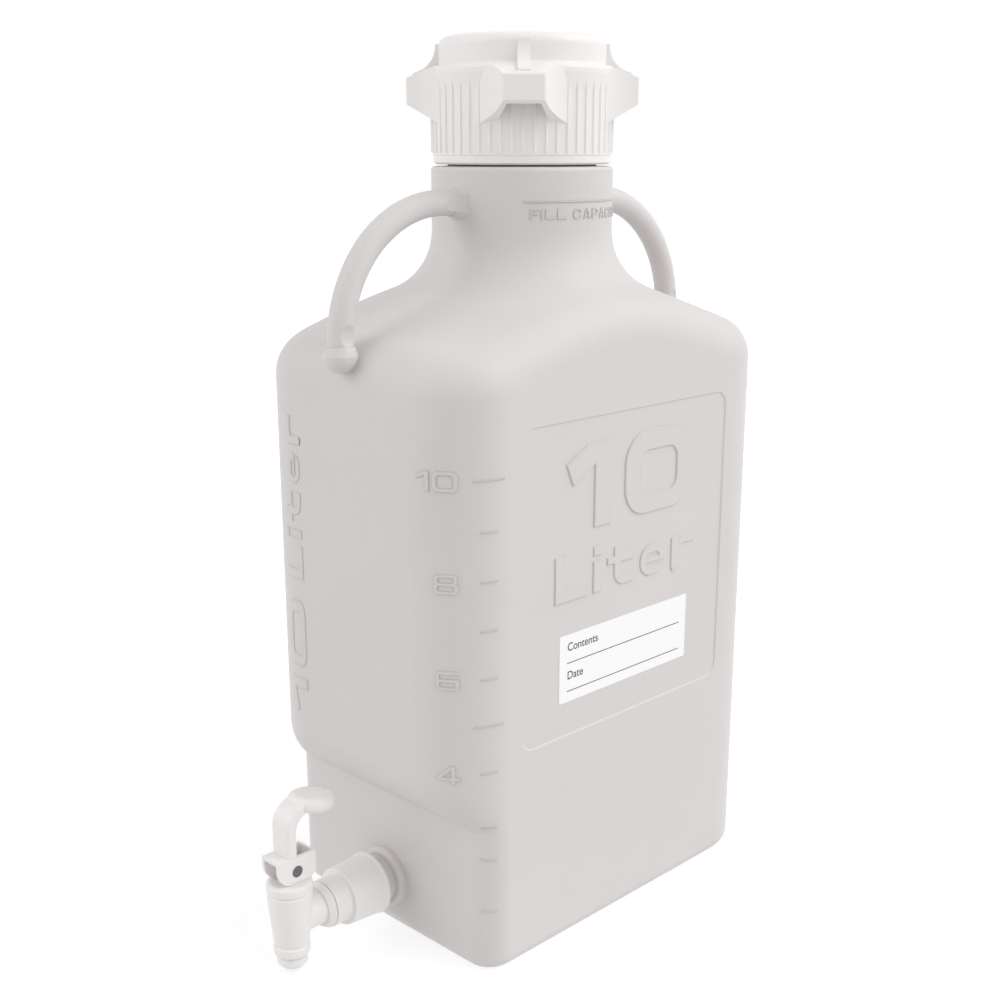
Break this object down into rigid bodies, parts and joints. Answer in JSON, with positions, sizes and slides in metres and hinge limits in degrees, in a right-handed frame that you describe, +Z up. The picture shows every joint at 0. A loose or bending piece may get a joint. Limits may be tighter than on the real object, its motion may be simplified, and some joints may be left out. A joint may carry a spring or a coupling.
{
  "type": "carboy with spigot",
  "caption": "Rectangular plastic carboy with a wide lugged screw cap, bar handles from neck to shoulder, raised level marks and a lever spigot low in its recessed front.",
  "frame": {"origin": "on the neck's axis, in the plane that the base rests on", "axes": "+Z up along the neck, -Y towards the spigot, +X towards the side with the framed panel"},
  "size_m": [0.165, 0.3258, 0.4842],
  "materials": {
    "natural_polyethylene": "blow-moulded natural polyethylene, matt and slightly translucent",
    "white_polypropylene": "white injection-moulded polypropylene, satin",
    "label_film": "white printed film",
    "soft_foam": "white foamed liner",
    "soft_silicone": "white silicone",
    "grey_pin": "dark grey plastic",
    "spring_steel": "stainless wire"
  },
  "bodies": {
    "carboy": {"carboy_body": "natural_polyethylene", "front_handle": "natural_polyethylene", "rear_handle": "natural_polyethylene", "label": "label_film", "nozzle_gasket": "soft_silicone", "nozzle_closure": "white_polypropylene", "spigot_body": "white_polypropylene", "bonnet": "white_polypropylene", "spring": "spring_steel"},
    "cap_seal": {"cap_gasket": "soft_foam"},
    "cap": {"cap": "white_polypropylene"},
    "stem": {"valve_stem": "white_polypropylene", "seat_cup": "soft_silicone", "lever_pin": "grey_pin"},
    "lever": {"lever": "white_polypropylene"}
  },
  "joints": [
    {"name": "cap_lift", "type": "slide", "parent": "carboy", "child": "cap_seal", "axis": [0, 0, 1], "range_m": [0, 0.0127]},
    {"name": "cap_turn", "type": "hinge", "parent": "cap_seal", "child": "cap", "pos_m": [0, 0, 0.45], "axis": [0, 0, 1], "range_deg": [0, 720]},
    {"name": "stem_lift", "type": "slide", "parent": "carboy", "child": "stem", "axis": [0, 0, 1], "range_m": [0, 0.0055], "deforming": ["spring"]},
    {"name": "lever_turn", "type": "hinge", "parent": "stem", "child": "lever", "pos_m": [0, -0.1745, 0.0613], "axis": [1, 0, 0], "range_deg": [0, 90]}
  ],
  "couplings": [
    {"joint": "cap_turn", "follows": "cap_lift", "rad_per_m": 989.47},
    {"joint": "lever_turn", "follows": "stem_lift", "rad_per_m": 285.6}
  ]
}
